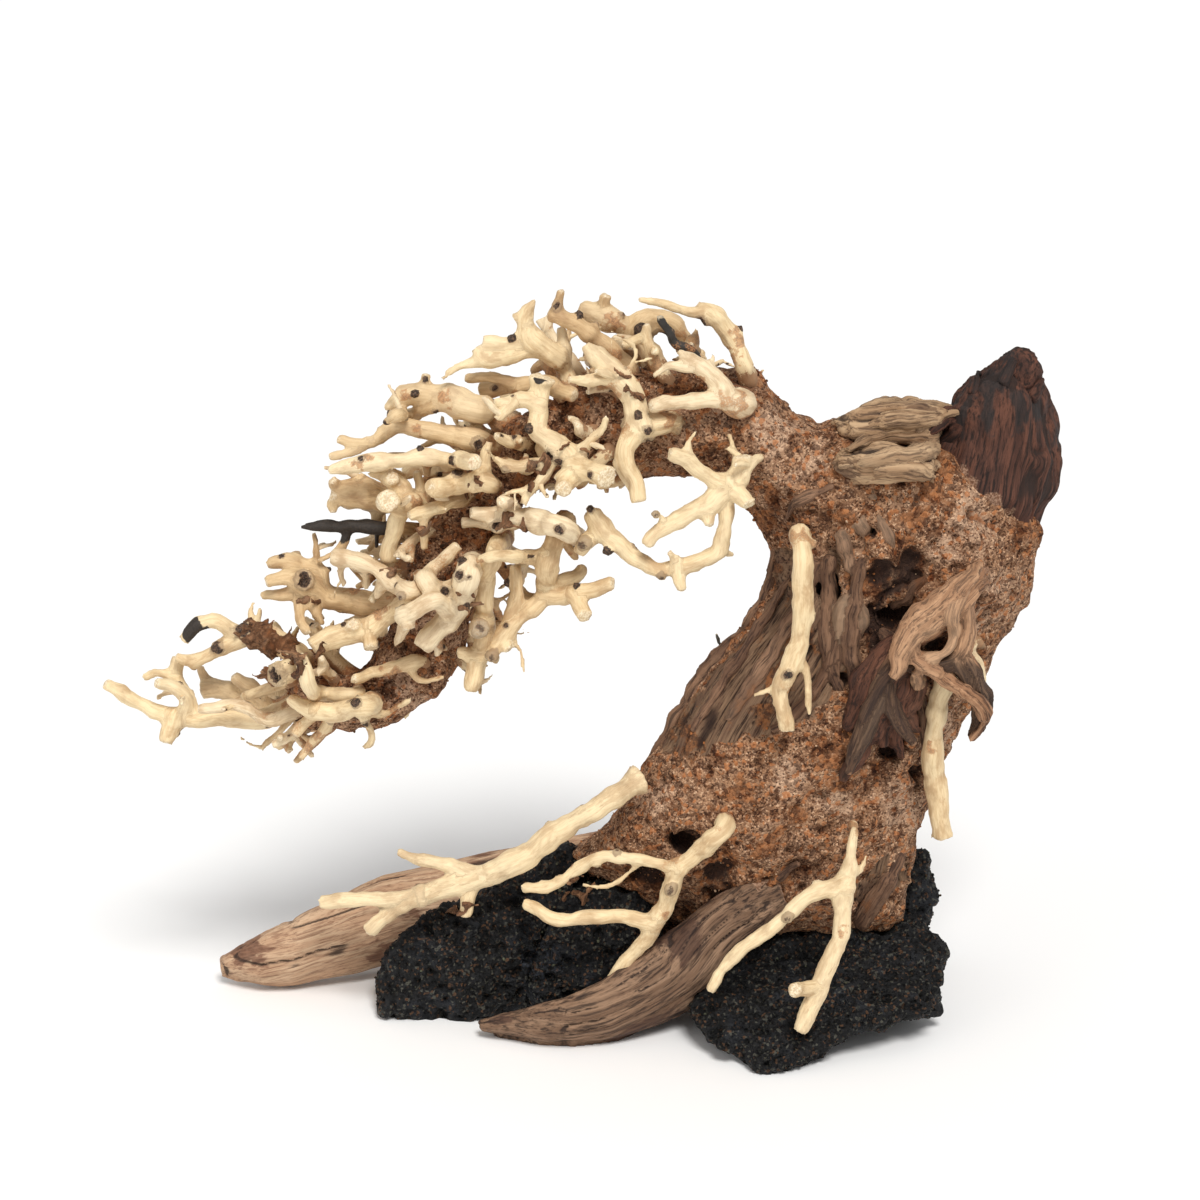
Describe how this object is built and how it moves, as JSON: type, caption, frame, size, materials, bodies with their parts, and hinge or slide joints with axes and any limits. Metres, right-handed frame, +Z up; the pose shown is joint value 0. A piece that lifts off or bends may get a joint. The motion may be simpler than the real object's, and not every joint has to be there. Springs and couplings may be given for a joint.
{
  "type": "bonsai driftwood aquarium ornament",
  "caption": "Leaning tree-shaped driftwood: mortar-coated trunk arching into a limb of pale forked twigs, wood feet and lava rock at the base.",
  "frame": {"origin": "centre of the bounding box on the ground the piece stands on", "axes": "+Z up, +X to the viewer's right along the width, towards the trunk's stump, -Y towards the viewer"},
  "size_m": [0.3327, 0.1297, 0.2694],
  "materials": {
    "mortar_coat": "grainy pinkish-brown mortar with rust-coloured crumbs over a wood core, matt",
    "dark_stump_wood": "charred dark red-brown split wood, dull",
    "weathered_wood": "weathered tan-grey wood with open grain, matt",
    "brown_driftwood": "mid-brown twisted driftwood, worn smooth along the grain",
    "grey_leg_wood": "grey-brown driftwood with purple-brown bark streaks, matt",
    "foot_wood": "mid-brown wood with a paler blunt tip, matt",
    "lava_rock": "near-black porous lava rock, rough",
    "cream_twig": "peeled cream twig wood with dark knots, satin-matt",
    "pale_twig": "bleached peeled twig wood, satin-matt",
    "tan_twig": "tan twig wood with bark remains, matt",
    "black_twig": "burnt black twig, matt"
  },
  "bodies": {
    "root": {"crown_stump": "dark_stump_wood", "front_leg": "grey_leg_wood", "lava_rock_back": "lava_rock", "lava_rock_left": "lava_rock", "lava_rock_middle": "lava_rock", "lava_rock_right": "lava_rock", "left_foot": "foot_wood", "right_twig": "cream_twig", "root_far_left": "cream_twig", "root_far_right": "cream_twig", "root_left": "cream_twig", "root_middle": "cream_twig", "root_right": "cream_twig", "trunk": "mortar_coat", "trunk_twig": "cream_twig", "twig_arc": "cream_twig", "twig_arch_fork": "cream_twig", "twig_bark_spike": "tan_twig", "twig_black": "black_twig", "twig_blunt": "cream_twig", "twig_crest_fork": "cream_twig", "twig_crest_high": "cream_twig", "twig_crest_rust": "tan_twig", "twig_crest_white": "pale_twig", "twig_crown_left": "tan_twig", "twig_crown_mass": "tan_twig", "twig_drop": "cream_twig", "twig_far_01": "cream_twig", "twig_far_02": "tan_twig", "twig_far_03": "cream_twig", "twig_far_04": "tan_twig", "twig_far_05": "cream_twig", "twig_far_06": "tan_twig", "twig_far_07": "cream_twig", "twig_far_08": "tan_twig", "twig_far_09": "cream_twig", "twig_flat_tan": "tan_twig", "twig_front_fork": "cream_twig", "twig_hang_fork": "cream_twig", "twig_high_bough": "tan_twig", "twig_knuckle": "cream_twig", "twig_left_brown": "tan_twig", "twig_left_sweep": "cream_twig", "twig_limb_strip": "cream_twig", "twig_long_grey": "pale_twig", "twig_long_top": "cream_twig", "twig_low_bough": "tan_twig", "twig_low_fork": "cream_twig", "twig_low_riser": "cream_twig", "twig_pale_bow": "pale_twig", "twig_thin_fork": "cream_twig", "twig_thumb": "pale_twig", "twig_tip_broad": "tan_twig", "twig_tip_fork": "cream_twig", "twig_tip_pale": "pale_twig", "twig_top_fork": "cream_twig", "twisted_driftwood": "brown_driftwood", "weathered_slab_lower": "weathered_wood", "weathered_slab_upper": "weathered_wood"}
  },
  "joints": []
}
